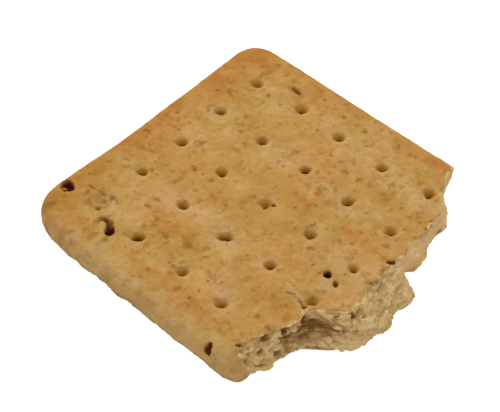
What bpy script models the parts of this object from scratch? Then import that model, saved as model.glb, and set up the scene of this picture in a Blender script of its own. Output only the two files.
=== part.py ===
"""A square of hardtack with one side broken off.

One hard, flat biscuit of flour and water, stamped with five rows of five docking pins before it
was baked. Its cut sides are round, and the side at +X is a rough break: the browned top crust
has flaked back from it and the pale, layered crumb below sticks out further.

Sizes are in millimetres. Places on the biscuit are measured from the middle docking hole, with x
towards the broken side, y towards the far side and z up from the surface that it lies on.
"""
import math

import bmesh
import bpy
import numpy as np
from mathutils import Matrix

MM = 0.001
AT_45 = 1.0 - math.sqrt(0.5)    # how far a round corner of radius 1 has come in at its middle

# The slab
THICKNESS = 8.2
LEFT_EDGE = -38.9
LEFT_FLARE = 1.1            # the left side swings out by this much towards the near corner
FLARE_START, FLARE_FULL = -6.0, -27.0
NEAR_EDGE = -37.8
FAR_EDGE = 38.8
FAR_LEAN = 0.02             # the far side runs out towards the break at this slope
FAR_CORNER_X = 24.0
FAR_LEFT_RADIUS = 7.5
NEAR_LEFT_RADIUS = 8.5
NEAR_BREAK_RADIUS = 4.4
SIDE_ROUND = 3.2            # how far the round cut side reaches in over the top and the base
SIDE_FULLNESS = 0.7         # 1 is an ellipse, less is a boxier side
BOX_MIDDLE = (-0.25, 0.75)   # the middle of the biscuit's box, seen from the middle docking hole

# The grid that carries the shape
TOP_CELLS = 44
SIDE_CELLS = 8

# The docking holes
HOLE_PITCH = 13.2
HOLE_ROWS = 5
HOLE_MOUTH = 1.7            # radius at the crust
HOLE_TIP = 0.45             # radius at the bottom
HOLE_DEPTH = 5.4
HOLE_SIDES = 12
DIMPLE_RADIUS = 3.4         # the crust is drawn down round each pin
DIMPLE_DEPTH = 0.45
CLOSED_HOLES = {(0, 4), (4, 4)}   # one lies under a blister, one went with the broken side

# How far each pin stood off its place, from the far row to the near one, left to right
HOLE_WANDER = [
    [(0.0, -0.6), (0.2, 0.5), (-0.5, -0.1), (-0.5, -0.5), (-0.8, 1.0)],
    [(-0.4, 0.3), (0.2, 0.0), (0.4, 0.2), (0.5, -0.3), (-0.3, 0.0)],
    [(-0.2, 0.2), (0.0, -0.4), (0.6, -0.4), (0.6, 0.0), (0.4, -0.4)],
    [(-0.3, 0.6), (0.3, -0.1), (0.4, -0.2), (-0.1, 0.8), (-0.3, 0.2)],
    [(-0.1, -0.4), (-0.5, -0.2), (0.1, -0.2), (-0.9, -0.6), (0.0, 0.0)],
]

# The break: how far it reaches in x at each height, on stations along y
BREAK_HEIGHTS = (0.0, 0.10, 0.50, 0.78, 1.0)    # heel, foot, waist, brow and crust, of THICKNESS
BREAK_STATIONS = [
    # y, then foot, waist, brow and crust
    (-33.0, 25.9, 25.5, 24.4, 22.3),
    (-31.0, 26.2, 25.7, 24.5, 22.9),
    (-28.6, 27.3, 26.2, 25.0, 23.6),
    (-27.2, 27.1, 26.0, 24.8, 24.1),
    (-25.6, 27.6, 26.2, 25.3, 24.6),
    (-23.9, 28.0, 26.1, 25.3, 24.9),
    (-21.9, 28.3, 26.0, 26.3, 26.5),
    (-20.0, 29.6, 26.8, 26.9, 27.1),
    (-18.3, 31.6, 27.1, 27.3, 27.3),
    (-16.7, 33.4, 27.8, 28.2, 26.9),
    (-15.0, 35.0, 29.6, 30.6, 26.8),
    (-13.8, 36.2, 32.0, 32.7, 29.0),
    (-11.5, 38.0, 35.2, 34.6, 31.8),
    (-9.9, 38.7, 36.8, 35.5, 34.2),
    (-8.0, 38.9, 37.6, 35.6, 33.5),
    (-6.0, 39.2, 37.9, 36.1, 34.5),
    (-4.2, 39.5, 37.9, 35.8, 33.9),
    (-2.0, 39.3, 37.2, 34.8, 32.7),
    (1.0, 38.2, 36.5, 34.3, 32.5),
    (4.0, 38.6, 36.6, 34.2, 32.1),
    (6.2, 38.6, 36.6, 34.1, 31.8),
    (8.0, 36.6, 34.8, 33.6, 31.9),
    (9.5, 32.6, 33.0, 33.2, 32.5),
    (11.0, 32.2, 33.4, 33.3, 32.4),
    (13.0, 33.6, 34.8, 34.0, 31.4),
    (15.5, 33.4, 34.3, 34.0, 32.0),
    (17.8, 32.2, 33.3, 33.3, 32.5),
    (19.7, 31.2, 32.8, 33.0, 31.5),
    (22.5, 30.8, 32.9, 33.1, 31.1),
    (25.5, 30.0, 32.2, 32.5, 30.6),
    (28.0, 28.8, 30.8, 31.0, 28.6),
    (29.5, 27.4, 28.8, 29.3, 27.6),
    (31.0, 26.4, 27.2, 27.6, 26.9),
    (33.0, 25.2, 26.0, 26.4, 25.9),
    (35.0, 24.0, 24.5, 24.9, 25.0),
    (39.0, 22.9, 23.5, 23.9, 24.0),
]
HEEL_INSET = 0.8            # the base edge of the break is this far in from its foot
CRAG_CELL = 3.2
CRAG_DEPTH = 0.55
CRAG_SEED = 11

# Blow-holes and pits: x, y, z of the middle, then the half sizes along x, y and z
PITS = {
    "burnt_pit": (-36.4, -26.9, 7.6, 1.5, 1.6, 2.2),
    "burst_blister_west": (-23.2, -27.9, 8.0, 1.1, 1.4, 2.0),
    "burst_blister_east": (-19.9, -29.2, 8.0, 1.4, 1.1, 2.4),
    "crack_pit": (-17.9, 30.7, 8.3, 1.8, 0.7, 1.3),
    "break_blister_west": (24.2, -5.4, 8.0, 1.0, 0.9, 2.4),
    "break_blister_east": (26.5, -6.4, 8.0, 0.7, 0.8, 1.5),
    "tear_pit": (17.3, -36.2, 6.7, 1.5, 1.2, 1.4),
    "far_crack": (32.2, 7.4, 8.0, 0.7, 1.2, 1.7),
    "hollow_under_crust": (25.6, -27.2, 7.4, 1.6, 1.3, 1.3),
    "hollow_at_foot": (28.0, -26.6, 3.4, 1.4, 1.3, 1.1),
    "notch_at_ledge": (26.8, -22.3, 7.2, 1.5, 1.0, 1.6),
    "ledge_cave": (29.6, -16.6, 5.4, 2.6, 2.4, 1.5),
    "ledge_hole": (34.4, -10.6, 7.6, 0.9, 0.9, 1.5),
}
PIT_RINGS = 6
PIT_SEGMENTS = 10

# The crust as it looks
CRUST_COLOUR = (0.49, 0.27, 0.085, 1.0)
CRUST_ROUGHNESS = 0.8


def new_collection(name):
    collection = bpy.data.collections.new(name)
    bpy.context.scene.collection.children.link(collection)
    return collection


def crags(y, z):
    """Smooth lumps over the break: random heights on a square lattice, eased between its points."""
    heights = np.random.default_rng(CRAG_SEED).uniform(-1.0, 1.0, (64, 64))
    across = y / CRAG_CELL + 32.0
    down = z / CRAG_CELL + 8.0
    i = np.floor(across).astype(int)
    j = np.floor(down).astype(int)
    p = across - i
    q = down - j
    p = p * p * (3.0 - 2.0 * p)
    q = q * q * (3.0 - 2.0 * q)
    low = heights[i, j] * (1.0 - p) + heights[i + 1, j] * p
    high = heights[i, j + 1] * (1.0 - p) + heights[i + 1, j + 1] * p
    return CRAG_DEPTH * (low * (1.0 - q) + high * q)


def level_height(t):
    """The height of level t, from 0 at the base to 1 at the top, close together at both."""
    return THICKNESS * 0.5 * (1.0 - np.cos(math.pi * t))


def level_inset(t):
    """How far the round cut side stands in from its furthest reach at level t."""
    return SIDE_ROUND * (1.0 - np.sin(math.pi * t) ** SIDE_FULLNESS)


def curve_in(distance, radius):
    """How far a round corner has left its straight side, at a distance past the side's end."""
    d = np.clip(distance, 0.0, radius * math.sqrt(0.5))
    return radius - np.sqrt(radius * radius - d * d)


def break_reach(y, z):
    """x of the break: stations joined along y, then heights joined along z, and the crags."""
    stations = np.array(BREAK_STATIONS)
    foot, waist, brow, crust = (np.interp(y, stations[:, 0], stations[:, k]) for k in range(1, 5))
    lines = (foot - HEEL_INSET, foot, waist, brow, crust)
    reach = lines[0]
    for k in range(4):
        low, high = BREAK_HEIGHTS[k] * THICKNESS, BREAK_HEIGHTS[k + 1] * THICKNESS
        reach = reach + (lines[k + 1] - lines[k]) * np.clip((z - low) / (high - low), 0.0, 1.0)
    return reach + crags(y, z)


def side_curves(u, v, t):
    """The near, far, left and broken sides at level t, each as x and y along u or v."""
    inset = level_inset(t)
    z = level_height(t)
    left, near, far = LEFT_EDGE + inset, NEAR_EDGE + inset, FAR_EDGE - inset
    r_near_left, r_far_left = NEAR_LEFT_RADIUS - inset, FAR_LEFT_RADIUS - inset
    r_break = NEAR_BREAK_RADIUS - inset
    flared = left - LEFT_FLARE
    far_start = far + FAR_LEAN * (left + r_far_left)
    far_end = far + FAR_LEAN * FAR_CORNER_X
    break_end = break_reach(near + r_break, z)

    x_low, x_high = flared + AT_45 * r_near_left, break_end - AT_45 * r_break
    x = x_low + (x_high - x_low) * u
    y = near + curve_in(flared + r_near_left - x, r_near_left)
    near_side = x, y + curve_in(x - (break_end - r_break), r_break)

    x_low, x_high = left + AT_45 * r_far_left, break_reach(far_end, z)
    x = x_low + (x_high - x_low) * u
    y = far + FAR_LEAN * np.clip(x, left + r_far_left, FAR_CORNER_X)
    far_side = x, y - curve_in(left + r_far_left - x, r_far_left)

    y_low, y_high = near + AT_45 * r_near_left, far_start - AT_45 * r_far_left
    y = y_low + (y_high - y_low) * v
    share = np.clip((FLARE_START - y) / (FLARE_START - FLARE_FULL), 0.0, 1.0)
    x = left - LEFT_FLARE * share * share * (3.0 - 2.0 * share)
    x = x + curve_in(near + r_near_left - y, r_near_left)
    left_side = x + curve_in(y - (far_start - r_far_left), r_far_left), y

    y_low, y_high = near + AT_45 * r_break, far_end
    y = y_low + (y_high - y_low) * v
    reach = np.where(y > near + r_break, break_reach(y, z), break_end)
    broken_side = reach - curve_in(near + r_break - y, r_break), y
    return near_side, far_side, left_side, broken_side


def local_height(x, y):
    """The biscuit's height over the slab: a low swell, drawn down round every pin."""
    swell = 0.35 * np.cos(x / 30.0) * np.cos(y / 30.0) - 0.2
    swell += 0.12 * np.sin(x / 9.0 + 1.0) * np.sin(y / 8.0)
    for hole_x, hole_y in hole_places():
        r = np.hypot(x - hole_x, y - hole_y) / DIMPLE_RADIUS
        swell -= DIMPLE_DEPTH * np.exp(-2.0 * r * r)
    return THICKNESS + swell


def slab_points(u, v, t):
    """Every grid point of the slab. At each level the four sides carry a Coons patch: the two
    sheets ruled between opposite sides, added, less the flat one through the four corners."""
    sides = side_curves(u, v, t)
    corners = {(i, j): side_curves(i * 1.0, j * 1.0, t)[0 if j == 0 else 1] for i in (0, 1) for j in (0, 1)}
    x, y = (
        (1.0 - v) * sides[0][k] + v * sides[1][k] + (1.0 - u) * sides[2][k] + u * sides[3][k]
        - (1.0 - u) * (1.0 - v) * corners[0, 0][k] - u * (1.0 - v) * corners[1, 0][k]
        - (1.0 - u) * v * corners[0, 1][k] - u * v * corners[1, 1][k]
        for k in (0, 1)
    )
    z = level_height(t) * local_height(x, y) / THICKNESS
    return np.stack([x - BOX_MIDDLE[0], y - BOX_MIDDLE[1], z], axis=1)


def hole_places():
    """x and y of each open docking hole, from the far row to the near one."""
    half = (HOLE_ROWS - 1) / 2.0
    for row in range(HOLE_ROWS):
        for column in range(HOLE_ROWS):
            if (column, row) in CLOSED_HOLES:
                continue
            off_x, off_y = HOLE_WANDER[row][column]
            yield (column - half) * HOLE_PITCH + off_x, (half - row) * HOLE_PITCH + off_y


def slab_mesh():
    """A cube cut into a grid, its points carried on to the biscuit's outline level by level."""
    bm = bmesh.new()
    bmesh.ops.create_cube(bm, size=1.0, matrix=Matrix.Translation((0.5, 0.5, 0.5)))
    for axis, cells in ((0, TOP_CELLS), (1, TOP_CELLS), (2, SIDE_CELLS)):
        along = [e for e in bm.edges if abs(e.verts[0].co[axis] - e.verts[1].co[axis]) > 1e-4]
        bmesh.ops.subdivide_edges(bm, edges=along, cuts=cells - 1, use_grid_fill=True)
    grid = np.array([v.co[:] for v in bm.verts])
    points = slab_points(grid[:, 0], grid[:, 1], grid[:, 2]) * MM
    for vert, point in zip(bm.verts, points):
        vert.co = point
    base = [f for f in bm.faces if all(v.co.z < 1e-7 for v in f.verts)]
    bmesh.ops.dissolve_faces(bm, faces=base)
    bmesh.ops.recalc_face_normals(bm, faces=bm.faces)
    mesh = bpy.data.meshes.new("hardtack")
    bm.to_mesh(mesh)
    bm.free()
    return mesh


def pin_mesh():
    """All the docking pins as one cutter: a cone for each open hole, tip down."""
    bm = bmesh.new()
    reach = HOLE_DEPTH + 1.0
    middle = THICKNESS + 1.0 - reach / 2.0
    flare = HOLE_MOUTH + (HOLE_MOUTH - HOLE_TIP) / HOLE_DEPTH
    for x, y in hole_places():
        place = Matrix.Translation(((x - BOX_MIDDLE[0]) * MM, (y - BOX_MIDDLE[1]) * MM, middle * MM))
        bmesh.ops.create_cone(bm, cap_ends=True, segments=HOLE_SIDES, radius1=HOLE_TIP * MM,
                              radius2=flare * MM, depth=reach * MM, matrix=place)
    mesh = bpy.data.meshes.new("docking_pins")
    bm.to_mesh(mesh)
    bm.free()
    return mesh


def pit_mesh(name, x, y, z, half_x, half_y, half_z):
    """One blow-hole or pit as a cutter: a ball drawn out to its half sizes."""
    bm = bmesh.new()
    place = Matrix.Translation(((x - BOX_MIDDLE[0]) * MM, (y - BOX_MIDDLE[1]) * MM, z * MM))
    stretch = Matrix.Diagonal((half_x * MM, half_y * MM, half_z * MM, 1.0))
    bmesh.ops.create_uvsphere(bm, u_segments=PIT_SEGMENTS, v_segments=PIT_RINGS, radius=1.0,
                              matrix=place @ stretch)
    mesh = bpy.data.meshes.new(name)
    bm.to_mesh(mesh)
    bm.free()
    return mesh


def crust_material():
    material = bpy.data.materials.new("baked_crust")
    material.use_nodes = True
    shader = material.node_tree.nodes["Principled BSDF"]
    shader.inputs["Base Color"].default_value = CRUST_COLOUR
    shader.inputs["Roughness"].default_value = CRUST_ROUGHNESS
    shader.inputs["Metallic"].default_value = 0.0
    return material


def add_cutter(name, mesh, collection):
    cutter = bpy.data.objects.new(name, mesh)
    cutter.hide_render = True
    cutter.display_type = "WIRE"
    collection.objects.link(cutter)
    return cutter


def cut(target, cutter):
    modifier = target.modifiers.new(cutter.name, "BOOLEAN")
    modifier.operation = "DIFFERENCE"
    modifier.object = cutter


for old in list(bpy.data.objects):
    bpy.data.objects.remove(old, do_unlink=True)

biscuit_parts = new_collection("hardtack")
cutters = new_collection("cutters")

slab = slab_mesh()
slab.shade_smooth()
slab.set_sharp_from_angle(angle=math.radians(40.0))
slab.materials.append(crust_material())
hardtack = bpy.data.objects.new("hardtack", slab)
biscuit_parts.objects.link(hardtack)

cut(hardtack, add_cutter("docking_pins", pin_mesh(), cutters))
for pit_name, pit_sizes in PITS.items():
    cut(hardtack, add_cutter(pit_name, pit_mesh(pit_name, *pit_sizes), cutters))
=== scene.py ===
import math

import bpy
import numpy as np
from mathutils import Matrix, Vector


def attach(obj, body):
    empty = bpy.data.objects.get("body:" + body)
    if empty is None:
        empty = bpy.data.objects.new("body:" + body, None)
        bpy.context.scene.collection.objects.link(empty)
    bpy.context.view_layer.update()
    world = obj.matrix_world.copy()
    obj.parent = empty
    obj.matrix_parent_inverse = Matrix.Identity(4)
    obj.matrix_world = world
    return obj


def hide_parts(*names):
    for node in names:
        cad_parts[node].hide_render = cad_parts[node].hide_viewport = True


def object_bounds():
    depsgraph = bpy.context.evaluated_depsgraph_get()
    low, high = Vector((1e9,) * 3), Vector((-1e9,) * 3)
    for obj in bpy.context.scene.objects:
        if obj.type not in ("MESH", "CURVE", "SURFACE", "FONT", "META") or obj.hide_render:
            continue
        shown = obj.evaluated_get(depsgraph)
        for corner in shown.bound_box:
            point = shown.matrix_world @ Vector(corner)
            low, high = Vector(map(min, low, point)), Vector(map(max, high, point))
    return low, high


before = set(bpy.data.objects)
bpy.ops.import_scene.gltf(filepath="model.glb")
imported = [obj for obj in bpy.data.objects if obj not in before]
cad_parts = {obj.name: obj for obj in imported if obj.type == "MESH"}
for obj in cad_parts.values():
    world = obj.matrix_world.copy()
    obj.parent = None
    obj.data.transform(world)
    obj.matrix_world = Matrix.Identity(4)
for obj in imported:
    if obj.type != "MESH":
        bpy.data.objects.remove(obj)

cad_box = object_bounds()

# The camera
# It looks down with a long lens over the near corner of the broken side, from the turn and
# height at which the rows of docking holes run as they do in the picture.
MM = 0.001
CAMERA_AZIMUTH = math.radians(43.133)
CAMERA_ELEVATION = math.radians(50.738)
CAMERA_DISTANCE = 351.8 * MM
CAMERA_TARGET = Vector((-1.66, -3.68, 8.2)) * MM
LENS = 112.29
SENSOR = 36.0


def add_object(name, data):
    """A new object that has this data, put in the scene."""
    new = bpy.data.objects.new(name, data)
    bpy.context.scene.collection.objects.link(new)
    return new


back = Vector((
    math.sin(CAMERA_AZIMUTH) * math.cos(CAMERA_ELEVATION),
    -math.cos(CAMERA_AZIMUTH) * math.cos(CAMERA_ELEVATION),
    math.sin(CAMERA_ELEVATION),
))
camera_data = bpy.data.cameras.new("camera")
camera_data.lens = LENS
camera_data.sensor_width = SENSOR
camera_data.clip_start = 0.01
camera_data.clip_end = 20.0
camera = add_object("camera", camera_data)
camera.location = CAMERA_TARGET + back * CAMERA_DISTANCE
camera.rotation_euler = back.to_track_quat("Z", "Y").to_euler()
bpy.context.scene.camera = camera

# The square of dough
# Flour and water rolled out stiff, cut square with round corners and baked hard. Its cut sides
# swelled round in the oven. Places are in millimetres from the middle docking hole.
THICKNESS = 8.2
LEFT_EDGE = -38.9
LEFT_FLARE = 1.1  # the left side swings out by this much towards the near corner
FLARE_START, FLARE_FULL = -6.0, -27.0
NEAR_EDGE = -37.8
NEAR_TUCK = 0.5  # the near side is drawn in by this much at its left end
TUCK_START, TUCK_FULL = -20.0, -35.0
FAR_EDGE = 38.8
FAR_LEAN = 0.02  # the far side runs out towards the break at this slope
FAR_CORNER_X = 24.0
FAR_LEFT_RADIUS = 7.5
NEAR_LEFT_RADIUS = 8.5
NEAR_BREAK_RADIUS = 4.4
SIDE_ROUND = 3.2  # how far the round cut side reaches in over the top and the base
SIDE_FULLNESS = 0.7  # 1 is an ellipse, less is a boxier side
BOX_MIDDLE = np.array([-0.25, 0.75, 0.0])
AT_45 = 1.0 - math.sqrt(0.5)


def eased(low, high, value):
    """0 below low, 1 above high, and between them s squared times 3 less 2 s."""
    s = np.clip((value - low) / (high - low), 0.0, 1.0)
    return s * s * (3.0 - 2.0 * s)


def grain(points, cell, seed):
    """Smooth lumps in space, from -1 to 1. Every corner of a lattice of cubes has a random value
    from a table, and between the corners the eight values are eased into one another."""
    values = np.random.default_rng(seed).uniform(-1.0, 1.0, 1 << 16)
    turn = np.array([[0.36, 0.48, -0.8], [-0.8, 0.6, 0.0], [0.48, 0.64, 0.6]])
    place = points @ turn.T / cell + 1000.5
    low = np.floor(place).astype(np.int64)
    s = eased(0.0, 1.0, place - low)
    total = np.zeros(len(points))
    for corner in range(8):
        step = np.array([corner & 1, corner >> 1 & 1, corner >> 2 & 1])
        i, j, k = (low + step).T
        key = (i * 73856093 ^ j * 19349663 ^ k * 83492791) & 0xFFFF
        total += values[key] * np.prod(np.where(step, s, 1.0 - s), axis=1)
    return total


def level_height(t):
    """Height of level t: half the thickness times 1 less the cosine of a half turn times t."""
    return THICKNESS * 0.5 * (1.0 - np.cos(math.pi * t))


def level_inset(t):
    """How far the round cut side stands in at level t: all of it at the base and the top, none
    half way, as 1 less a power of the sine."""
    return SIDE_ROUND * (1.0 - np.abs(np.sin(math.pi * t)) ** SIDE_FULLNESS)


def curve_in(distance, radius):
    """How far a round corner has left its straight side, at a distance past the side's end."""
    d = np.clip(distance, 0.0, radius * math.sqrt(0.5))
    return radius - np.sqrt(radius * radius - d * d)


# The broken side
# One side was snapped off: the browned top crust flaked back and the pale crumb under it split
# along its layers, so that it sticks out in ledges, lobes and caves.
BREAK_HEIGHTS = (0.0, 0.10, 0.50, 0.78, 1.0)  # heel, foot, waist, brow and crust, of THICKNESS
# y, then foot, waist, brow and crust
BREAK_STATIONS = np.array([
    (-33.0, 25.9, 25.5, 24.4, 22.3), (-31.0, 26.2, 25.7, 24.5, 22.9),
    (-28.6, 27.3, 26.2, 25.0, 23.6), (-27.2, 27.1, 26.0, 24.8, 24.1),
    (-25.6, 27.6, 26.2, 25.3, 24.6), (-23.9, 28.0, 26.1, 25.3, 24.9),
    (-21.9, 28.3, 26.0, 26.3, 26.5), (-20.0, 29.6, 26.8, 26.9, 27.1),
    (-18.3, 31.6, 27.1, 27.3, 27.3), (-16.7, 33.4, 27.4, 27.8, 26.9),
    (-15.2, 34.9, 28.2, 28.4, 26.8), (-14.5, 35.6, 29.0, 29.4, 27.6),
    (-14.0, 36.0, 29.8, 33.4, 28.4), (-13.2, 36.7, 31.2, 35.2, 29.4),
    (-12.2, 37.5, 33.0, 36.2, 30.8), (-11.0, 38.2, 35.0, 36.4, 32.4),
    (-9.9, 38.7, 36.8, 36.2, 34.0), (-8.0, 38.9, 37.6, 35.6, 33.5),
    (-6.0, 39.2, 37.9, 36.1, 34.5), (-4.2, 39.5, 37.9, 35.8, 33.9),
    (-2.0, 39.7, 37.4, 34.8, 32.7), (-0.4, 39.0, 36.9, 34.5, 32.6),
    (0.8, 38.2, 36.5, 34.3, 32.5), (2.4, 37.6, 36.3, 34.2, 32.3),
    (3.8, 38.5, 36.3, 34.2, 32.1), (5.2, 39.2, 36.0, 34.2, 31.9),
    (6.6, 39.1, 35.2, 34.0, 31.8), (7.8, 38.5, 34.5, 33.6, 31.9),
    (8.6, 37.3, 34.0, 33.4, 32.1), (9.0, 33.6, 33.3, 33.3, 32.3),
    (9.8, 32.4, 33.0, 33.2, 32.5), (11.0, 32.2, 33.4, 33.3, 32.4),
    (13.0, 33.6, 34.8, 34.0, 31.4), (15.5, 33.4, 34.3, 34.0, 32.0),
    (17.8, 32.2, 33.3, 33.3, 32.5), (19.7, 31.2, 32.8, 33.0, 31.5),
    (22.5, 30.8, 32.9, 33.1, 31.1), (25.5, 30.0, 32.2, 32.5, 30.6),
    (28.0, 28.8, 30.8, 31.0, 28.6), (29.5, 27.4, 28.8, 29.3, 27.6),
    (31.0, 26.4, 27.2, 27.6, 26.9), (33.0, 25.2, 26.0, 26.4, 25.9),
    (35.0, 24.0, 24.5, 24.9, 25.0), (39.0, 22.9, 23.5, 23.9, 24.0),
])
FOOT, WAIST, BROW, EDGE = 1, 2, 3, 4
HEEL_INSET = 0.8  # the base edge of the break is this far in from its foot
CRAG_CELL = 3.2
CRAG_DEPTH = 0.55
CRAG_SEED = 11
LAYER = 1.15  # thickness of one layer of the split crumb
TOOTH = 0.28  # how far each layer's lip stands out


def crags(y, z):
    """Smooth lumps over the break: random heights on a square lattice, eased between its points."""
    heights = np.random.default_rng(CRAG_SEED).uniform(-1.0, 1.0, (64, 64))
    across = y / CRAG_CELL + 32.0
    down = z / CRAG_CELL + 8.0
    i = np.floor(across).astype(int)
    j = np.floor(down).astype(int)
    p, q = eased(0.0, 1.0, across - i), eased(0.0, 1.0, down - j)
    low = heights[i, j] * (1.0 - p) + heights[i + 1, j] * p
    high = heights[i, j + 1] * (1.0 - p) + heights[i + 1, j + 1] * p
    return CRAG_DEPTH * (low * (1.0 - q) + high * q)


def layer_wave(y):
    """How far the layers rise and dip along the break: two sizes of grain along a line."""
    line = np.linspace(-45.0, 45.0, 901)
    flat = np.stack([line, line * 0.0, line * 0.0], axis=1)
    return np.interp(y, line, 0.9 * grain(flat, 6.0, 21) + 0.3 * grain(flat, 1.9, 22))


def cave_share(y):
    """1 along the cave under the ledge, 0 away from it."""
    return eased(-24.5, -21.5, y) * (1.0 - eased(-13.0, -10.0, y))


def split_height(y, z):
    """The height whose reach the break has at z. The crumb split in whole layers: most of each
    layer keeps one height, and a quick step leads to the next."""
    wave = layer_wave(y)
    phase = (z + wave) / LAYER
    whole = np.floor(phase)
    stepped = LAYER * (whole + eased(0.25, 0.75, phase - whole)) - wave
    amount = (0.45 + 0.5 * cave_share(y)) * eased(0.1, 0.8, z) * (1.0 - eased(6.9, 7.9, z))
    return z + (stepped - z) * amount


def layer_lips(y, z):
    """The lip of each layer: a saw along z, slow to rise and quick to fall back."""
    phase = (z + layer_wave(y)) / LAYER + 0.5
    share = phase - np.floor(phase)
    tooth = share ** 1.5 * (1.0 - eased(0.7, 1.0, share)) * 1.7 - 0.5
    return TOOTH * tooth * eased(0.2, 1.0, z) * (1.0 - eased(6.6, 7.6, z)) * (0.6 + 0.8 * cave_share(y))


def station(y, k):
    """x of the foot, waist, brow or crust edge of the break at y, from the stations."""
    return np.interp(y, BREAK_STATIONS[:, 0], BREAK_STATIONS[:, k])


def break_reach(y, z):
    """x of the break: stations joined along y, then heights joined along z at the split height.
    Where the brow overhangs the waist the join is the cube of the share, which undercuts it
    sharply. Crags and the lips of the layers come on top."""
    y, z = np.broadcast_arrays(np.asarray(y, dtype=float), np.asarray(z, dtype=float))
    at = split_height(y, z)
    lines = [station(y, k) for k in (FOOT, WAIST, BROW, EDGE)]
    lines.insert(0, lines[0] - HEEL_INSET)
    reach = lines[0]
    for k in range(4):
        low, high = BREAK_HEIGHTS[k] * THICKNESS, BREAK_HEIGHTS[k + 1] * THICKNESS
        share = np.clip((at - low) / (high - low), 0.0, 1.0)
        rise = lines[k + 1] - lines[k]
        if k == 2:
            share = np.where(rise > 0.0, share ** 3, share)
        reach = reach + rise * share
    return reach + crags(y, z) + layer_lips(y, z)


def near_side(u, t):
    """x and y along the near side: straight, with a quarter circle at each end."""
    inset, z = level_inset(t), level_height(t)
    flared, near = LEFT_EDGE + inset - LEFT_FLARE, NEAR_EDGE + inset
    r_left, r_break = NEAR_LEFT_RADIUS - inset, NEAR_BREAK_RADIUS - inset
    break_end = break_reach(near + r_break, z)
    x_low, x_high = flared + AT_45 * r_left, break_end - AT_45 * r_break
    x = x_low + (x_high - x_low) * u
    y = near + NEAR_TUCK * eased(TUCK_START, TUCK_FULL, x) + curve_in(flared + r_left - x, r_left)
    return x, y + curve_in(x - (break_end - r_break), r_break)


def far_side(u, t):
    """x and y along the far side: straight and leaning, with a quarter circle at the left and a
    sharp corner at the break."""
    inset, z = level_inset(t), level_height(t)
    left, far = LEFT_EDGE + inset, FAR_EDGE - inset
    r_left = FAR_LEFT_RADIUS - inset
    x_low, x_high = left + AT_45 * r_left, break_reach(far + FAR_LEAN * FAR_CORNER_X, z)
    x = x_low + (x_high - x_low) * u
    y = far + FAR_LEAN * np.clip(x, left + r_left, FAR_CORNER_X)
    return x, y - curve_in(left + r_left - x, r_left)


def left_side(v, t):
    """x and y along the left side: straight, flared towards the near corner, with a quarter
    circle at each end."""
    inset = level_inset(t)
    left, near, far = LEFT_EDGE + inset, NEAR_EDGE + NEAR_TUCK + inset, FAR_EDGE - inset
    r_near, r_far = NEAR_LEFT_RADIUS - inset, FAR_LEFT_RADIUS - inset
    far_start = far + FAR_LEAN * (left + r_far)
    y_low, y_high = near + AT_45 * r_near, far_start - AT_45 * r_far
    y = y_low + (y_high - y_low) * v
    x = left - LEFT_FLARE * eased(0.0, 1.0, (FLARE_START - y) / (FLARE_START - FLARE_FULL))
    x = x + curve_in(near + r_near - y, r_near)
    return x + curve_in(y - (far_start - r_far), r_far), y


def broken_side(v, t):
    """x and y along the break: its reach, with a quarter circle at the near corner."""
    inset, z = level_inset(t), level_height(t)
    near, far = NEAR_EDGE + inset, FAR_EDGE - inset
    r_break = NEAR_BREAK_RADIUS - inset
    y_low, y_high = near + AT_45 * r_break, far + FAR_LEAN * FAR_CORNER_X
    y = y_low + (y_high - y_low) * v
    reach = np.where(y > near + r_break, break_reach(y, z), break_reach(near + r_break, z))
    return reach - curve_in(near + r_break - y, r_break), y


def sheet_points(u, v, t):
    """x and y of the grid points of level t: a Coons patch, which is the two sheets ruled between
    opposite sides, added, less the flat one through the four corners."""
    near, far, left, broken = near_side(u, t), far_side(u, t), left_side(v, t), broken_side(v, t)
    corners = {(i, j): (far_side if j else near_side)(float(i), t) for i in (0, 1) for j in (0, 1)}
    return [
        (1.0 - v) * near[k] + v * far[k] + (1.0 - u) * left[k] + u * broken[k]
        - (1.0 - u) * (1.0 - v) * corners[0, 0][k] - u * (1.0 - v) * corners[1, 0][k]
        - (1.0 - u) * v * corners[0, 1][k] - u * v * corners[1, 1][k]
        for k in (0, 1)
    ]


# The docking holes
# Five rows of five pins were pushed down through the dough, so that it would not puff up. Each left a
# soft funnel, drawn down at its mouth, and painted shade darkens it towards the bottom.
HOLE_PITCH = 13.2
HOLE_ROWS = 5
DIMPLE_RADIUS = 3.4
DIMPLE_DEPTH = 0.45
RIM_RADIUS = 1.9
RIM_HEIGHT = 0.16
RIM_WIDTH = 0.5
CLOSED_HOLES = {(0, 4), (4, 4)}  # one lies under a blister, one went with the broken side
HOLE_WANDER = [
    [(0.0, -0.6), (0.2, 0.5), (-0.5, -0.1), (-0.5, -0.5), (-0.8, 1.0)],
    [(-0.4, 0.3), (0.2, 0.0), (0.4, 0.2), (0.5, -0.3), (-0.3, 0.0)],
    [(-0.2, 0.2), (0.0, -0.4), (0.6, -0.4), (0.6, 0.0), (0.4, -0.4)],
    [(-0.3, 0.6), (0.3, -0.1), (0.4, -0.2), (-0.1, 0.8), (-0.3, 0.2)],
    [(-0.1, -0.4), (-0.5, -0.2), (0.1, -0.2), (-0.9, -0.6), (0.0, 0.0)],
]
FUNNEL_SHIFT = (-0.25, 0.25)  # from the dark of the hole, as seen, to its real middle
STEEP_SIDE = (0.684, -0.730)  # the pins leaned, so each funnel is steepest on this side
SLOPED_POWER = 1.35
STEEPER_BY = 3.65  # what the steep side adds to the power
LIP_HEIGHT = 0.13  # the steep side has a low lip
LIP_AT, LIP_WIDTH = 1.45, 0.3  # where it stands, in parts of the funnel's radius
PALE_RIM_WIDTH = 0.6
USUAL_FUNNEL = (3.4, 0.90, 1.0, 0.0, 0.0)
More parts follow.
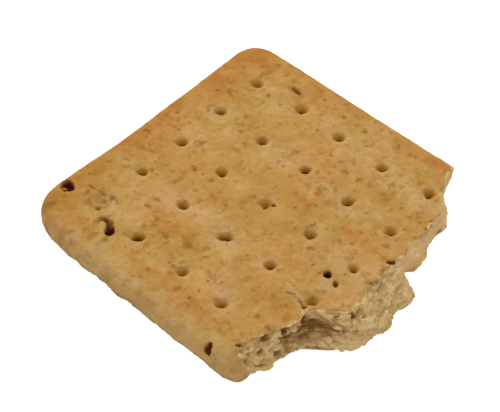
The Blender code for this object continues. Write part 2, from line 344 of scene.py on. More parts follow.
# column and row, then depth, radius, stretch, turn of the stretch in degrees and scorch
OWN_FUNNELS = {
    (0, 0): (2.6, 0.80, 1.2, 45.0, 0.0),
    (1, 0): (3.0, 0.95, 1.2, 45.0, 0.0),
    (3, 0): (3.2, 0.95, 1.1, 0.0, 0.0),
    (4, 0): (2.6, 0.85, 1.4, 100.0, 0.0),
    (0, 1): (1.7, 0.75, 1.8, 35.0, 0.25),
    (2, 1): (3.6, 0.80, 1.1, 90.0, 0.6),
    (4, 1): (2.4, 1.05, 1.2, 45.0, 0.0),
    (0, 2): (2.6, 1.00, 1.1, 45.0, 0.1),
    (2, 2): (2.3, 0.95, 1.0, 0.0, 0.0),
    (4, 2): (2.3, 0.90, 1.1, 45.0, 0.1),
    (1, 3): (2.5, 1.00, 1.2, 0.0, 0.0),
    (2, 3): (3.6, 0.85, 1.5, 40.0, 0.9),
    (4, 3): (2.1, 1.05, 1.2, 45.0, 0.0),
    (1, 4): (3.2, 0.95, 1.4, 50.0, 0.7),
    (2, 4): (2.3, 0.95, 1.3, 60.0, 0.0),
    (3, 4): (2.5, 0.95, 1.3, 45.0, 0.05),
}


def holes():
    """Each open docking hole: x, y and its own funnel."""
    half = (HOLE_ROWS - 1) / 2.0
    for row in range(HOLE_ROWS):
        for column in range(HOLE_ROWS):
            if (column, row) in CLOSED_HOLES:
                continue
            off_x, off_y = HOLE_WANDER[row][column]
            x, y = (column - half) * HOLE_PITCH + off_x, (half - row) * HOLE_PITCH + off_y
            yield x, y, OWN_FUNNELS.get((column, row), USUAL_FUNNEL)


CROWN, CROWN_LENGTH, CROWN_DROP = 0.35, 30.0, 0.2  # the slow rise of the slab to its middle
WAVE, WAVE_X, WAVE_Y = 0.12, 9.0, 8.0
NEAR_ROLL = 0.9  # how much lower the top would lie at the near edge
NEAR_ROLL_WIDTH = 3.8


def swell(x, y):
    """Height of the top over the slab: a cosine crown and a low wave, rolled down towards the near
    side by a bell curve and drawn down by another at every pin. Each pin has a low rim, a narrow
    bell curve round it."""
    height = CROWN * np.cos(x / CROWN_LENGTH) * np.cos(y / CROWN_LENGTH) - CROWN_DROP
    height += WAVE * np.sin(x / WAVE_X + 1.0) * np.sin(y / WAVE_Y)
    height -= NEAR_ROLL * np.exp(-((y - NEAR_EDGE) / NEAR_ROLL_WIDTH) ** 2)
    for hole_x, hole_y, _ in holes():
        r = np.hypot(x - hole_x, y - hole_y)
        height -= DIMPLE_DEPTH * np.exp(-2.0 * (r / DIMPLE_RADIUS) ** 2)
        height += RIM_HEIGHT * np.exp(-((r - RIM_RADIUS) / RIM_WIDTH) ** 2)
    return height


GATHERED = 0.34  # how much of its distance to the pin a point there is moved
GATHER_REACH = 2.6


def gather(x, y):
    """Plan points drawn together round every pin, so that the funnels get finer cells: each moves
    towards the pin by a share of its distance, which fades as a bell curve."""
    moved_x, moved_y = x.copy(), y.copy()
    for hole_x, hole_y, _ in holes():
        off_x = x - hole_x - FUNNEL_SHIFT[0]
        off_y = y - hole_y - FUNNEL_SHIFT[1]
        pull = GATHERED * np.exp(-(off_x ** 2 + off_y ** 2) / GATHER_REACH ** 2)
        moved_x -= off_x * pull
        moved_y -= off_y * pull
    return moved_x, moved_y


def funnels(points):
    """Depth of the docking holes, how scorched they are, how pale their rims are and how high their
    lips stand. Depth falls from the middle as e to the minus a power of r over the radius, with r
    stretched and made uneven by the grain, and the power is higher on the steep side. The lip is a bell
    curve across a ring, on the steep side only. The pale rim is another, thickest on the side towards
    the break, and is flour with a painted highlight; every lip is painted pale as a highlight too."""
    depth, scorch, flour, lip = np.zeros((4, len(points)))
    uneven = 1.0 + 0.22 * grain(points, 1.2, 31) + 0.10 * grain(points, 0.5, 32)
    for hole_x, hole_y, (deep, radius, stretch, turn, burn) in holes():
        off_x = points[:, 0] - hole_x - FUNNEL_SHIFT[0]
        off_y = points[:, 1] - hole_y - FUNNEL_SHIFT[1]
        along = off_x * math.cos(math.radians(turn)) + off_y * math.sin(math.radians(turn))
        across = off_y * math.cos(math.radians(turn)) - off_x * math.sin(math.radians(turn))
        r = np.hypot(along / stretch, across) * uneven / radius
        out = np.maximum(np.hypot(off_x, off_y), 0.01)
        steep = eased(-0.1, 0.8, (off_x * STEEP_SIDE[0] + off_y * STEEP_SIDE[1]) / out)
        bell = np.exp(-r ** (SLOPED_POWER + STEEPER_BY * steep))
        depth = np.maximum(depth, deep * bell)
        lip = np.maximum(lip, LIP_HEIGHT * steep * np.exp(-((r - LIP_AT) / LIP_WIDTH) ** 2))
        scorch = np.maximum(scorch, burn * eased(0.25, 0.65, bell))
        # Painted highlight: each rim is painted paler on the side towards the break
        lit_side = 0.55 + 0.45 * (off_x * 0.9 + off_y * 0.4) / out
        flour = np.maximum(flour, lit_side * np.exp(-((out * uneven - RIM_RADIUS) / PALE_RIM_WIDTH) ** 2))
    flour *= np.clip(0.5 + 0.9 * grain(points, 1.5, 33), 0.0, 1.0)
    return np.stack([depth, scorch, np.maximum(flour, 4.0 * lip), lip])


# The marks of the oven
# Steam raised blisters in the top crust. Some burst and left dark pits with a thin torn flap, and
# some only left a ring. The crust cracked where it was bent at the break.

# Blisters: x, y, half sizes along x and y, height of the dome and of its ring, and how floury and
# how dark the ring is
BLISTERS = {
    "west_ring": (-28.6, -25.0, 2.5, 2.3, 0.22, 0.20, 0.2, 0.6),
    "east_flake": (7.4, 10.8, 2.7, 2.5, -0.22, 0.42, 1.0, 0.7),
    "far_arc": (15.9, 21.3, 2.0, 1.6, 0.34, 0.20, 0.9, 0.5),
    "break_dome": (24.5, -8.1, 2.3, 2.1, 0.75, 0.0, 0.0, 0.0),
    "burst_flap": (-21.6, -28.6, 2.6, 2.2, 0.45, 0.0, 0.0, 0.0),
    "near_bump": (18.6, -4.0, 2.0, 1.6, 0.10, 0.03, 0.0, 0.0),
}
USUAL_TURN = 43.0  # degrees from x: most marks are drawn out this way
DOWN = (0.0, 0.0, -1.0)
# Pits: x, y, z of the middle, half sizes along the turn, across it and up, the turn in degrees
# from x, the way that the pit goes in, and how dark it is
PITS = {
    "burnt_pit": (-36.3, -27.0, 7.8, 1.65, 1.9, 1.7, 43.0, (0.2, 0.0, -1.0), 1.0),
    "ring_dot": (-26.4, -26.9, 8.3, 0.6, 0.45, 0.6, 43.0, DOWN, 0.7),
    "burst_blister": (-22.0, -28.7, 8.6, 2.2, 2.5, 1.5, 43.0, DOWN, 0.9),
    "burst_arc": (-23.0, -27.6, 7.9, 1.1, 0.5, 1.2, 30.0, DOWN, 0.9),
    "burst_hollow": (-20.0, -29.4, 8.0, 1.1, 1.6, 1.8, 43.0, (-0.1, 0.1, -1.0), 1.0),
    "curved_pit": (-18.0, 30.7, 8.5, 2.2, 0.70, 1.1, -2.0, DOWN, 0.6),
    "dome_pit": (23.7, -5.6, 8.7, 0.8, 1.1, 2.2, 43.0, DOWN, 1.0),
    "small_dome_pit": (26.5, -6.2, 8.4, 0.55, 0.9, 1.2, 43.0, DOWN, 0.65),
    "tear_pit": (17.3, -36.3, 6.3, 1.1, 1.4, 1.5, 0.0, (0.0, 0.6, -0.8), 0.7),
    "far_crack": (31.6, 6.9, 8.2, 1.4, 0.45, 1.2, 43.0, DOWN, 0.75),
    "satellite_pit": (1.6, 0.7, 8.2, 0.65, 0.55, 0.9, 0.0, DOWN, 0.9),
    "crack_end": (25.6, -15.4, 8.1, 0.6, 0.4, 1.0, 43.0, DOWN, 0.9),
}
FLAP_SHARE = 0.85  # how far a flap brings the whole crust back
# Thin flaps of crust still standing in the pits: x, y, half sizes, turn
FLAPS = [
    (-22.2, -29.7, 1.2, 1.7, 43.0),
    (-36.2, -27.9, 0.8, 0.35, 43.0),
]
# Seams: thin cracks and the sunk edges of blisters, each as a bent line, its width, its depth and how
# dark it is, which is brown of the crust and painted shade in the groove
SEAMS = [
    ([(20.0, -15.3), (21.0, -14.9), (21.6, -14.3), (23.5, -14.6), (25.1, -15.2)], 0.13, 0.75, 1.0),
    ([(-30.2, 12.4), (-29.7, 13.8), (-28.9, 14.6)], 0.34, 0.12, 0.3),
    ([(-32.6, -23.5), (-30.8, -23.4), (-29.6, -23.1), (-28.2, -23.3)], 0.34, 0.20, 1.0),
    ([(-31.4, -25.2), (-31.1, -26.4)], 0.42, 0.20, 1.0),
    ([(-29.9, -26.4), (-29.0, -27.1), (-27.3, -27.2)], 0.34, 0.15, 0.9),
    ([(-27.6, -24.6), (-26.6, -24.4)], 0.36, 0.12, 0.7),
    ([(-24.3, -29.8), (-24.2, -28.3), (-23.4, -27.5), (-22.4, -27.4)], 0.34, 0.50, 1.0),
    ([(3.9, 11.3), (4.6, 12.5), (6.4, 13.0)], 0.24, 0.20, 0.45),
    ([(6.2, 15.2), (8.3, 15.2), (9.0, 13.0)], 0.20, 0.15, 0.3),
    ([(14.4, 20.4), (15.1, 22.3), (17.6, 22.8)], 0.24, 0.20, 0.45),
    ([(23.5, -9.8), (22.2, -7.5), (22.4, -5.5)], 0.24, 0.25, 0.5),
    ([(-19.4, 30.0), (-18.2, 30.1), (-16.6, 31.0)], 0.22, 0.20, 0.5),
]
# Stains of the crust by kind: x, y, half sizes along the turn and across it, and strength, then
# the turn where it isn't the usual one
STAINS = {
    "russet": [
        (-35.0, -33.5, 1.8, 1.2, 0.8), (-33.1, -23.7, 1.6, 0.8, 0.8), (-36.5, -23.8, 0.8, 0.8, 0.8),
        (-4.7, -20.0, 1.2, 1.2, 0.9), (21.0, 36.0, 4.2, 1.5, 0.7, 8.0), (24.6, -20.0, 1.1, 1.5, 0.7),
        (33.1, 8.3, 0.9, 0.9, 1.0), (7.5, 5.9, 1.2, 0.7, 0.7), (30.0, 0.6, 0.9, 0.6, 0.7),
        (6.8, 10.3, 0.9, 1.1, 1.0), (7.2, 14.0, 1.2, 1.7, 0.5), (27.5, -13.7, 1.1, 0.9, 0.4),
        (25.6, 27.5, 1.3, 1.7, 0.9), (-21.9, -33.6, 0.7, 0.7, 0.8), (-35.2, -32.9, 0.9, 1.1, 0.9),
        (-36.0, -34.0, 2.6, 1.8, 0.7, 60.0),
    ],
    "umber": [
        (-18.0, 30.7, 2.0, 0.7, 0.8, -2.0), (-33.9, -38.0, 2.2, 0.8, 0.6, 70.0),
        (-26.5, -35.5, 1.0, 0.7, 0.8), (1.0, -20.2, 1.0, 0.35, 0.7), (-8.1, -23.2, 0.7, 0.5, 0.7),
        (6.1, -30.6, 0.6, 0.5, 0.8), (23.3, 19.9, 0.7, 0.5, 0.8), (18.6, 13.3, 0.5, 0.4, 0.7),
        (21.4, 8.3, 0.6, 0.4, 0.7), (21.9, 4.5, 0.6, 0.4, 0.7), (15.9, 33.9, 0.7, 0.5, 0.7),
        (32.5, 0.1, 0.9, 0.4, 0.9), (10.0, 11.3, 0.4, 0.4, 0.9, 0.0), (5.4, 8.8, 0.4, 0.4, 0.9, 0.0),
        (-27.3, 13.7, 1.1, 0.7, 0.8), (-29.5, 12.0, 0.4, 0.5, 1.0), (-26.5, -35.4, 0.6, 0.8, 0.9),
        (-22.2, -38.2, 1.1, 0.6, 0.9), (-17.6, -39.0, 0.8, 0.5, 0.7), (-26.2, -38.8, 1.2, 0.7, 0.6),
        (-18.9, -32.2, 0.6, 0.7, 0.9), (-19.3, -33.5, 0.8, 0.5, 0.8), (-4.1, -20.6, 0.8, 0.9, 0.7),
        (-1.9, -19.9, 0.5, 0.4, 0.6), (-27.6, -25.6, 1.2, 0.9, 0.5), (-24.6, -33.0, 1.2, 0.6, 0.5),
        (-21.6, -31.8, 0.9, 0.5, 0.5), (-36.6, -34.6, 1.8, 1.0, 0.9, 100.0),
        (-35.6, -33.0, 1.5, 0.8, 0.9), (-28.8, -25.0, 2.4, 2.0, 0.45),
        (-31.4, -25.3, 0.5, 1.1, 0.9, 20.0), (-26.5, -26.9, 0.9, 0.5, 0.9),
        (-29.4, -23.2, 1.3, 0.5, 0.7, 5.0), (-28.0, -37.3, 0.9, 0.8, 0.7),
        (-12.5, -37.4, 1.6, 0.7, 0.5, 0.0),
    ],
    "floury": [
        (24.7, -8.3, 1.9, 1.5, 0.8), (-22.3, -29.6, 1.0, 1.5, 0.4), (22.6, -13.8, 1.4, 0.4, 0.6, 0.0),
        (24.0, -15.7, 1.3, 0.4, 0.6, -20.0),
    ],
}


def blisters(points):
    """Height of the blisters, how floury their rings are and how dark the line round each. Inside
    each outline stands a dome, 1 less r squared, to the power 0.6. The ring is a bell curve just
    inside the outline, broken up by the grain, and the dark line is one just outside it, darkest
    where the ring is broken."""
    height, rings, outlines = np.zeros((3, len(points)))
    wobble = 1.0 + 0.26 * grain(points, 2.2, 41)
    broken = np.clip(0.6 + 1.0 * grain(points, 1.5, 42), 0.0, 1.0)
    for x, y, half_x, half_y, dome, ring, pale, dark in BLISTERS.values():
        r = np.hypot((points[:, 0] - x) / half_x, (points[:, 1] - y) / half_y) * wobble
        around = broken * np.exp(-((r - 0.9) / 0.15) ** 2)
        height += dome * np.clip(1.0 - r * r, 0.0, 1.0) ** 0.6 + ring * around
        rings = np.maximum(rings, around * pale)
        outline = np.exp(-((r - 1.13) / 0.14) ** 2)
        outlines = np.maximum(outlines, outline * np.clip(1.3 - broken, 0.25, 1.0) * dark)
    return np.stack([height, rings, outlines])


def distance_to_line(points, line):
    """Distance in plan from each point to the nearest stretch of a bent line."""
    nearest = np.full(len(points), 1e9)
    for (x0, y0), (x1, y1) in zip(line[:-1], line[1:]):
        along = np.array([x1 - x0, y1 - y0])
        off = points[:, :2] - np.array([x0, y0])
        share = np.clip(off @ along / (along @ along), 0.0, 1.0)
        nearest = np.minimum(nearest, np.hypot(*(off - share[:, None] * along).T))
    return nearest


def turned_axes(half_sizes, turn):
    """The three axes of a ball turned in plan, each divided by its half size."""
    c, s = math.cos(math.radians(turn)), math.sin(math.radians(turn))
    return np.array([[c, s, 0.0], [-s, c, 0.0], [0.0, 0.0, 1.0]]) / np.array(half_sizes)[:, None]


def carve(points, middle, half_sizes, turn, way_in):
    """Points inside a ball, drawn out to its half sizes and roughened by the grain, are moved
    along way_in to where that line leaves the ball. Returns how far each one moved."""
    moved = np.zeros(len(points))
    offset = points - np.array(middle)
    near = np.flatnonzero(np.abs(offset).max(axis=1) < 1.3 * max(half_sizes))
    axes = turned_axes(half_sizes, turn)
    inward = np.array(way_in) / np.linalg.norm(way_in)
    rough = 1.0 + 0.30 * grain(points[near], max(half_sizes) * 0.8, 51)[:, None]
    q = offset[near] @ axes.T * rough
    a = axes @ inward
    along = q @ a
    squared = (q * q).sum(axis=1)
    room = np.maximum(along ** 2 + (a @ a) * (1.0 - squared), 0.0)
    step = np.where(squared < 1.0, (np.sqrt(room) - along) / (a @ a), 0.0)
    points[near] += step[:, None] * inward
    moved[near] = step
    return moved


def patch(points, x, y, along, across, turn, uneven):
    """A flat patch seen in plan: e to the minus r cubed, with r made uneven."""
    axes = turned_axes((along, across, 1.0), turn)
    q = (points - np.array([x, y, 0.0])) @ axes[:2].T
    return np.exp(-(np.hypot(*q.T) * uneven) ** 3)


def stains(points):
    """How russet, umber and floury the crust is, each 0 to 1: the strongest patch at each point."""
    kinds = np.zeros((3, len(points)))
    uneven = 1.0 + 0.4 * grain(points, 1.0, 46) + 0.25 * grain(points, 0.45, 47)
    for kind, spots in zip(kinds, STAINS.values()):
        for x, y, along, across, strength, *own in spots:
            turn = own[0] if own else USUAL_TURN
            here = strength * patch(points, x, y, along, across, turn, uneven)
            np.maximum(kind, here, out=kind)
    return kinds


# The hollows of the break
# Gas cells that the break laid open: slits and caves between the layers of crumb, the larger ones
# by their places and the many small ones strewn over it.
INTO_BREAK = (-0.62, 0.40, -0.68)
UNDER_LEDGE = (-0.7, 0.65, 0.15)
# x, y, z of the middle, half sizes along the turn, across it and up, and how dark the painted shade in
# it is, then the turn and the way in where they aren't the usual ones. They are carved in this order.
HOLLOWS = [
    (24.5, -26.2, 6.9, 1.3, 1.0, 1.1, 0.9), (25.4, -22.0, 6.6, 0.75, 1.0, 1.5, 1.0),
    (26.6, -20.9, 7.1, 1.2, 0.7, 0.7, 0.5), (25.9, -22.6, 4.3, 0.7, 0.8, 0.7, 0.8),
    (27.2, -22.3, 1.7, 0.8, 0.8, 0.6, 0.85), (27.1, -25.0, 1.9, 1.3, 1.0, 0.8, 0.9),
    (25.5, -28.6, 4.9, 1.2, 0.7, 0.6, 0.75), (24.9, -32.8, 5.1, 1.0, 0.55, 0.5, 0.7),
    (24.7, -31.5, 6.2, 0.5, 0.6, 0.6, 0.7), (22.5, -31.8, 8.0, 1.2, 0.45, 0.8, 0.85),
    (23.8, -30.9, 7.4, 0.5, 0.5, 0.5, 0.6), (23.6, -28.9, 8.1, 0.4, 0.4, 0.4, 0.5),
    (27.1, -17.3, 6.9, 0.8, 1.1, 1.7, 1.0), (27.8, -16.9, 6.3, 1.2, 1.0, 0.8, 0.6, 43.0, UNDER_LEDGE),
    (29.6, -15.2, 5.9, 1.4, 0.9, 0.6, 0.6, 43.0, UNDER_LEDGE),
    (31.9, -13.9, 4.6, 1.4, 0.9, 0.6, 0.7, 30.0, UNDER_LEDGE),
    (34.0, -12.9, 4.1, 1.1, 0.8, 0.55, 0.9, 20.0, UNDER_LEDGE), (34.0, -10.2, 7.4, 0.7, 0.7, 1.4, 1.0),
    (32.4, -11.9, 7.4, 1.2, 0.25, 0.6, 0.8), (35.7, -6.9, 5.8, 1.3, 0.5, 0.45, 0.6, 73.0, INTO_BREAK),
    (37.4, -6.1, 4.3, 0.5, 0.6, 0.4, 0.6), (38.9, -6.0, 2.8, 0.5, 0.5, 0.35, 0.5),
    (37.9, -0.8, 2.8, 0.5, 0.6, 0.4, 0.6), (36.2, -10.4, 3.6, 0.5, 0.6, 0.4, 0.6),
    (26.6, -21.2, 3.0, 1.0, 0.6, 0.45, 0.8), (27.7, -20.3, 2.3, 1.2, 0.6, 0.45, 0.8),
    (29.2, -19.1, 1.9, 1.2, 0.6, 0.4, 0.7), (27.8, -18.8, 2.7, 0.8, 0.9, 0.45, 0.6),
    (30.9, 21.6, 8.1, 0.6, 0.4, 0.5, 0.35), (31.9, 20.9, 7.9, 0.6, 0.4, 0.5, 0.4),
    (31.3, 19.3, 8.1, 0.5, 0.4, 0.5, 0.35), (32.4, 22.9, 4.6, 0.6, 0.9, 0.5, 0.6),
    (32.7, 0.7, 7.9, 0.5, 0.4, 0.5, 0.6), (32.3, -0.8, 8.2, 0.4, 0.4, 0.4, 0.5),
    (26.5, -29.6, 2.0, 1.0, 0.6, 0.5, 0.6), (25.7, -23.9, 5.4, 0.9, 0.7, 0.6, 0.35),
]
PORES = 50
PORE_SEED = 17
LUMP_STATIONS = np.array([  # y, and how rough the crumb is there
    (-33.0, 1.15), (-24.5, 1.2), (-21.5, 1.5), (-13.5, 1.5), (-11.0, 1.1), (-7.0, 0.85), (4.0, 0.8),
    (9.0, 0.5), (36.0, 0.45)])


def crumb_relief(points):
    """Rough crumb: four sizes of grain, each half as high as it is wide, because the dough was
    rolled flat. The two middle sizes are folded at nought, which leaves round lumps with sharp
    creases between them. It is roughest in the cave and smoothest at the far end."""
    flat = points * np.array([1.0, 1.0, 2.0])
    lumps = 2.0 * np.abs(grain(flat, 2.0, 62)) - 0.5
    small_lumps = 2.0 * np.abs(grain(flat, 0.95, 63)) - 0.5
    relief = 0.34 * grain(flat, 3.4, 61) + 0.40 * lumps + 0.20 * small_lumps
    relief += 0.13 * grain(flat, 0.45, 64)
    return relief * np.interp(points[:, 1], LUMP_STATIONS[:, 0], LUMP_STATIONS[:, 1])


def skin_near(points, place):
    """The point of the skin that is nearest to a place."""
    return points[np.argmin(((points - np.array(place)) ** 2).sum(axis=1))].copy()


def strewn_pores(points):
    """Small pores carved into the break, short of its far end: flat balls at random places along it and
    random heights. Returns how much painted shade they get."""
    draw = np.random.default_rng(PORE_SEED)
    dark = np.zeros(len(points))
    for _ in range(PORES):
        y, z = draw.uniform(-33.0, 9.0), draw.uniform(0.8, 7.6)
        wide, high, deep = draw.uniform(0.4, 1.3), draw.uniform(0.18, 0.4), draw.uniform(0.4, 0.8)
        x = float(break_reach(y, z)) + 0.1
        moved = carve(points, (x, y, z), (deep, wide, high), 0.0, (-1.0, 0.0, -0.1))
        dark = np.maximum(dark, 0.45 * eased(0.1, 0.9, moved))
    return dark


# The biscuit's skin
# One closed sheet: the top, the sides ring by ring down to the base, and the base in cells twice
# as wide. Everything above shapes it, then the places of crust, crumb and scorch are marked on it.
TOP_CELLS = 260
RIM_FADE = 0.03  # the gathering of the top's points fades out within this share of its sides
LEDGE_Y = -14.0  # the lines across lie closest together here, where the ledge starts
SIDE_LEVELS = 64
HOLLOW_DEPTH = 3.5
CLEARANCE = 0.005  # the skin stays this far inside the solid's box
TRIANGLES = 196000


def even_levels(side, along):
    """Level t of every point of the rings below one side of the rim, so that each column's points
    are about evenly spaced down its outline: the length run so far, with a small share of the
    level itself, is turned round, column by column."""
    t = np.linspace(1.0, 0.0, 241)[None, :]
    x, y = side(along[:, None], t)
    z = np.broadcast_to(level_height(t), x.shape)
    step = np.sqrt(np.diff(x, axis=1) ** 2 + np.diff(y, axis=1) ** 2 + np.diff(z, axis=1) ** 2)
    run = np.concatenate([np.zeros((len(along), 1)), np.cumsum(step, axis=1)], axis=1)
    run = 0.85 * run / run[:, -1:] + 0.15 * (1.0 - t)
    column = 2.0 * np.arange(len(along))[:, None]
    wanted = np.arange(1, SIDE_LEVELS)[None, :] / SIDE_LEVELS + column
    found = np.interp(wanted.ravel(), (run + column).ravel(), np.broadcast_to(t, run.shape).ravel())
    return found.reshape(wanted.shape)


def lines_across(line):
    """The same lines moved towards the ledge: their density is 1 and a bell curve more there."""
    from_ledge = NEAR_EDGE + (FAR_EDGE - NEAR_EDGE) * line - LEDGE_Y
    density = 1.0 + 1.6 * np.exp(-from_ledge ** 2)
    run = np.concatenate([[0.0], np.cumsum(0.5 * (density[1:] + density[:-1]))])
    return np.interp(line * run[-1], run, line)


def faces(*corners):
    """Faces from arrays of point numbers, one array for each corner, in order round the face."""
    return np.stack(corners, axis=-1).reshape(-1, len(corners))


def rim_of(index):
    """The point numbers round the edge of a grid, starting along its near side."""
    return np.concatenate([index[:-1, 0], index[-1, :-1], index[:0:-1, -1], index[0, :0:-1]])


def biscuit_grid():
    """x, y, level t and side mark of every point, and the faces between them. The top is a square
    grid, its rim goes down in rings, and the last ring is sewn to a base of half the lines. The
    mark is 1 on the broken side, and 0 elsewhere."""
    line = np.linspace(0.0, 1.0, TOP_CELLS + 1)
    across = lines_across(line)
    u, v = (a.ravel() for a in np.meshgrid(line, across, indexing="ij"))
    index = np.arange(len(u)).reshape(len(line), -1)
    x, y = sheet_points(u, v, 1.0)
    drawn_x, drawn_y = gather(x, y)
    inner = eased(0.0, RIM_FADE, u) * eased(0.0, RIM_FADE, 1.0 - u)
    inner = inner * eased(0.0, RIM_FADE, v) * eased(0.0, RIM_FADE, 1.0 - v)
    top = [x + (drawn_x - x) * inner, y + (drawn_y - y) * inner, np.ones_like(x), np.zeros_like(x)]

    rings = []
    for side, along in ((near_side, line[:-1]), (broken_side, across[:-1]),
                        (far_side, line[:0:-1]), (left_side, across[:0:-1])):
        t = even_levels(side, along)
        side_x, side_y = side(along[:, None], t)
        rings.append(np.stack([side_x, side_y, t, np.full_like(t, side is broken_side)]))
    rings = np.concatenate(rings, axis=1).transpose(0, 2, 1)
    lower = len(x) + np.arange(rings[0].size).reshape(rings[0].shape)
    ladder = np.concatenate([rim_of(index)[None, :], lower])
    right = np.roll(ladder, -1, axis=1)

    base_u, base_v = (a.ravel() for a in np.meshgrid(line[::2], across[::2], indexing="ij"))
    base_x, base_y = sheet_points(base_u, base_v, 0.0)
    bottom = [base_x, base_y, np.zeros_like(base_x), np.zeros_like(base_x)]
    base = len(x) + rings[0].size + np.arange(len(base_u)).reshape(len(line[::2]), -1)
    sole, last_ring = rim_of(base), ladder[-1]
    following = np.roll(sole, -1)
    first, halfway, last = last_ring[::2], last_ring[1::2], np.roll(last_ring[::2], -1)

    quads = np.concatenate([
        faces(index[:-1, :-1], index[1:, :-1], index[1:, 1:], index[:-1, 1:]),
        faces(ladder[1:], right[1:], right[:-1], ladder[:-1]),
        faces(base[:-1, :-1], base[:-1, 1:], base[1:, 1:], base[1:, :-1]),
    ])
    sewn = np.concatenate([
        faces(sole, following, halfway),
        faces(sole, halfway, first),
        faces(following, last, halfway),
    ])
    return *np.concatenate([top, rings.reshape(4, -1), bottom], axis=1), quads, sewn


def outward(points, quads, sewn):
    """Unit normal at every point: the cross products of two sides of each of its faces, added."""
    total = np.zeros_like(points)
    for faces in (quads, sewn):
        corner, second, third = points[faces[:, 0]], points[faces[:, 1]], points[faces[:, -1]]
        cross = np.cross(second - corner, third - corner)
        for k in range(faces.shape[1]):
            for axis in range(3):
                total[:, axis] += np.bincount(faces[:, k], cross[:, axis], minlength=len(points))
    return total / np.maximum(np.linalg.norm(total, axis=1), 1e-12)[:, None]


def grains(points, table):
    """Several sizes of grain added up, each by its height."""
    return sum(high * grain(points, cell, seed) for high, cell, seed in table)


# height, size and seed of each grain of the crust
CRUST_GRAINS = ((0.15, 6.0, 81), (0.14, 2.6, 82), (0.09, 1.2, 83), (0.05, 0.6, 84))


def crust_relief(points):
    """The baked crust: four sizes of grain, low flakes with sharp edges where two other grains are
    high, and small pits where one more is high. The cut left and far edges are smoother."""
    smooth = np.maximum(eased(-33.0, -36.5, points[:, 0]), eased(33.5, 37.0, points[:, 1]))
    flakes = 0.09 * eased(0.05, 0.25, grain(points, 2.4, 85))
    flakes = flakes + 0.05 * eased(0.1, 0.35, grain(points, 1.3, 86))
    pits = 0.08 * eased(0.35, 0.70, grain(points, 1.0, 87))
    return (grains(points, CRUST_GRAINS) + flakes - pits) * (1.0 - 0.7 * smooth)


def far_end(y):
    """1 at the far end of the break, where the crumb is skinned over, and 0 short of it."""
    return eased(4.0, 11.0, y)


def crumb_and_hollow(points, broken):
    """How far each point is crumb, and how much painted shade the hollow of the break gives it there.
    The crumb starts about at the crust's edge, which the grain makes ragged. The hollow is how far the
    break stands in from a straight line between its foot and the crust's edge, over HOLLOW_DEPTH, and
    less so at the far end; it darkens the crumb as painted shade."""
    x, y, z = points.T
    past_edge = x - station(y, EDGE) + 0.7 * grain(points, 1.5, 71) + 0.4 * grain(points, 4.0, 72)
    past_edge -= 0.5 * eased(-13.0, -18.0, y)
    flaked = eased(-35.0, -31.5, y) * eased(-0.9, 0.3, past_edge)
    crumb = np.where(broken, np.maximum(flaked, eased(-34.5, -32.0, y)), flaked) * eased(0.1, 0.5, z)
    foot, edge = station(y, FOOT), station(y, EDGE)
    chord = foot + (edge - foot) * np.clip(z / THICKNESS, 0.0, 1.0)
    hollow_shade = np.where(broken, np.clip((chord - x) / HOLLOW_DEPTH, 0.0, 1.0), 0.0)
    return crumb, hollow_shade * (1.0 - 0.8 * far_end(y))


def press_seams(points, top):
    """Each seam is pressed into the top: a bell curve across its bent line, which the grain makes
    wander. Returns how dark the seams are, broken up by the grain: brown of the crust and painted shade
    in the grooves."""
    seam_brown_and_shade = np.zeros(len(points))
    wander = 0.16 * grain(points, 0.8, 55)
    broken_up = np.clip(0.75 + 0.6 * grain(points, 1.1, 56), 0.0, 1.0)
    for line, width, deep, dark in SEAMS:
        groove = np.exp(-((distance_to_line(points, line) + wander) / width) ** 2) * top
        points[:, 2] -= deep * groove
        seam_brown_and_shade = np.maximum(seam_brown_and_shade, dark * groove * broken_up)
    return seam_brown_and_shade


def carve_pits(points):
    """The pits are carved one after another, and then the flaps bring most of the whole skin back
    at their places. Returns how burnt the pits are, by how far each point moved."""
    burnt = np.zeros(len(points))
    whole = points.copy()
    for x, y, z, along, across, up, turn, way_in, dark in PITS.values():
        moved = carve(points, (x, y, z), (along, across, up), turn, way_in)
        burnt = np.maximum(burnt, dark * eased(0.15, 0.7 * min(along, across, up) + 0.4, moved))
    for x, y, along, across, turn in FLAPS:
        flap = FLAP_SHARE * eased(0.2, 0.7, patch(points, x, y, along, across, turn, 1.0))
        points += (whole - points) * flap[:, None]
        burnt *= 1.0 - flap
    return burnt


def carve_hollows(points, broken):
    """The hollows are carved one after another, each at the point of the skin nearest to its place, and
    then the small pores. Returns how much painted shade they get."""
    cavity_shade = np.zeros(len(points))
    for x, y, z, along, across, up, dark, *own in HOLLOWS:
        turn, way_in = own or (USUAL_TURN, INTO_BREAK)
        middle = skin_near(points, (x, y, z))
        moved = carve(points, middle, (along, across, up), turn, way_in)
        cavity_shade = np.maximum(cavity_shade, 0.95 * dark * eased(0.1, 0.9 * min(along, across) + 0.25, moved))
    skin = points[broken]
    cavity_shade[broken] = np.maximum(cavity_shade[broken], strewn_pores(skin))
    points[broken] = skin
    return cavity_shade


def toasting(points):
    """How browned the crust is, about -1 to 1: the puffed bands between the rows of pins are
    browner and the rows themselves paler, and both come and go. The left margin and the near left
    corner are browner."""
    bands = -0.55 * np.cos(2.0 * math.pi * points[:, 1] / HOLE_PITCH)
    slow = grains(points, ((0.6, 9.0, 92), (0.45, 4.0, 93)))
    left = 0.8 * eased(-27.0, -38.0, points[:, 0])
    near_left = 0.6 * eased(-16.0, -30.0, points[:, 0]) * eased(-16.0, -30.0, points[:, 1])
    return bands * (0.6 + 0.4 * grain(points, 14.0, 91)) + slow + left + near_left


def side_flour(points, cut_side, crumb):
    """Flour on the cut sides, and on the top within a few millimetres of the near side."""
    from_near = points[:, 1] - NEAR_EDGE + 1.8 * grain(points, 3.0, 96) + 0.8 * grain(points, 1.2, 97)
    dusted = 0.46 * (1.0 - eased(2.5, 6.5, from_near)) * (crumb < 0.5)
    return np.maximum(0.5 * cut_side, dusted) * (0.8 + 0.5 * grain(points, 2.0, 98))


